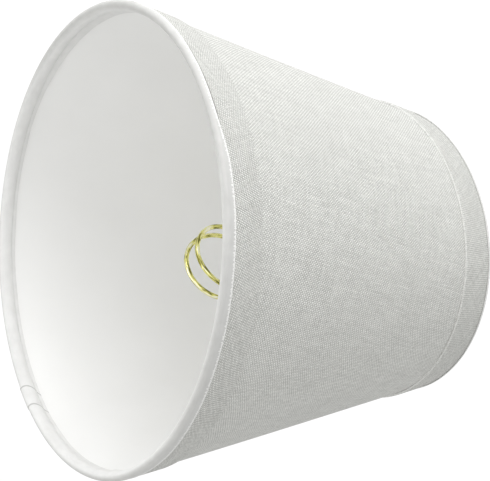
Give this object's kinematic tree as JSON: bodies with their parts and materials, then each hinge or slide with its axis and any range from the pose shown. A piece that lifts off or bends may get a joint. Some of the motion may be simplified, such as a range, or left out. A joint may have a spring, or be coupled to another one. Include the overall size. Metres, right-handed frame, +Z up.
{
  "type": "lamp shade",
  "caption": "Small empire lamp shade in white linen over a rigid liner, with bias tape edges on wire hoops and a brass spring clip that grips a candle bulb.",
  "frame": {"origin": "centre of the bottom rim, on the plane that the shade stands on", "axes": "+Z up the shade's axis from the wide bottom rim to the narrow top rim; +X along the cross wire, the way the two clip loops spread; +Y across it"},
  "size_m": [0.1516, 0.1518, 0.1244],
  "materials": {
    "liner": "smooth white styrene sheet with a satin shine",
    "linen": "off-white plain-weave linen with slubs",
    "bias_tape": "the same linen cut on the bias and folded",
    "ring_wire": "white coated steel wire",
    "brass_wire": "bright brass plated wire",
    "brass_strap": "bright brass plated sheet"
  },
  "bodies": {
    "shade": {"liner_panel": "liner", "linen_cover": "linen", "bottom_ring": "ring_wire", "top_ring": "ring_wire", "bottom_trim": "bias_tape", "top_trim": "bias_tape", "cross_wire": "brass_wire"},
    "clip": {"clip_saddle": "brass_strap", "clip_rivet": "brass_strap"},
    "left_loop": {"clip_loop_left": "brass_wire"},
    "right_loop": {"clip_loop_right": "brass_wire"}
  },
  "joints": [
    {"name": "clip_swivel", "type": "hinge", "parent": "shade", "child": "clip", "pos_m": [0, 0, 0.102], "axis": [1, 0, 0], "range_deg": [-42, 27]},
    {"name": "left_loop_spread", "type": "hinge", "parent": "clip", "child": "left_loop", "pos_m": [0, 0.00066, 0.09704], "axis": [0, 0.9912, 0.1323], "range_deg": [0, 14], "stiffness_Nm_per_rad": 0.2},
    {"name": "right_loop_spread", "type": "hinge", "parent": "clip", "child": "right_loop", "pos_m": [0, 0.00066, 0.09704], "axis": [0, -0.9912, -0.1323], "range_deg": [0, 14], "stiffness_Nm_per_rad": 0.2}
  ]
}
